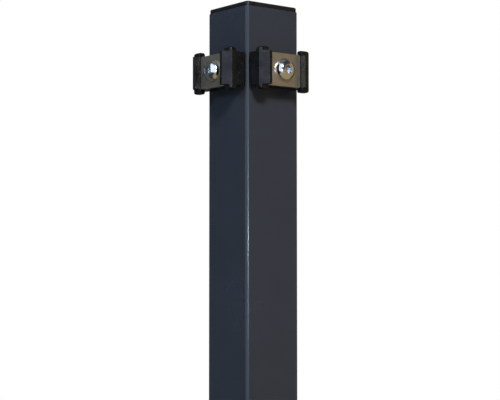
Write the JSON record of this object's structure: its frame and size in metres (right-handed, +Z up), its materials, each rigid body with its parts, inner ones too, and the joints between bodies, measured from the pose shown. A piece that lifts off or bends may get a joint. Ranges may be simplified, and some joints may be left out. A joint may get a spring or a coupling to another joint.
{
  "type": "metal fence post",
  "caption": "Square steel corner post for a mesh fence, with a plug cap and screwed panel clamps on adjacent faces.",
  "frame": {"origin": "centre of the tube's foot", "axes": "+Z up along the tube; -Y and -X are the outward normals of the two faces that carry clamps"},
  "size_m": [0.055, 0.055, 1.0028],
  "materials": {
    "post_coating": "fine-textured anthracite powder coat on galvanised steel",
    "cap_plastic": "satin black moulded polyethylene",
    "holder_plastic": "fine-grained black moulded glass-filled nylon",
    "plate_steel": "plain rolled stainless plate, satin",
    "screw_steel": "bright stainless steel",
    "nut_steel": "zinc-plated steel"
  },
  "bodies": {
    "root": {"post_tube": "post_coating", "top_cap": "cap_plastic", "upper_right_holder": "holder_plastic", "upper_right_clamp_plate": "plate_steel", "upper_right_clamp_screw": "screw_steel", "upper_right_rivet_nut": "nut_steel", "upper_left_holder": "holder_plastic", "upper_left_clamp_plate": "plate_steel", "upper_left_clamp_screw": "screw_steel", "upper_left_rivet_nut": "nut_steel", "lower_right_holder": "holder_plastic", "lower_right_clamp_plate": "plate_steel", "lower_right_clamp_screw": "screw_steel", "lower_right_rivet_nut": "nut_steel", "lower_left_holder": "holder_plastic", "lower_left_clamp_plate": "plate_steel", "lower_left_clamp_screw": "screw_steel", "lower_left_rivet_nut": "nut_steel"}
  },
  "joints": []
}
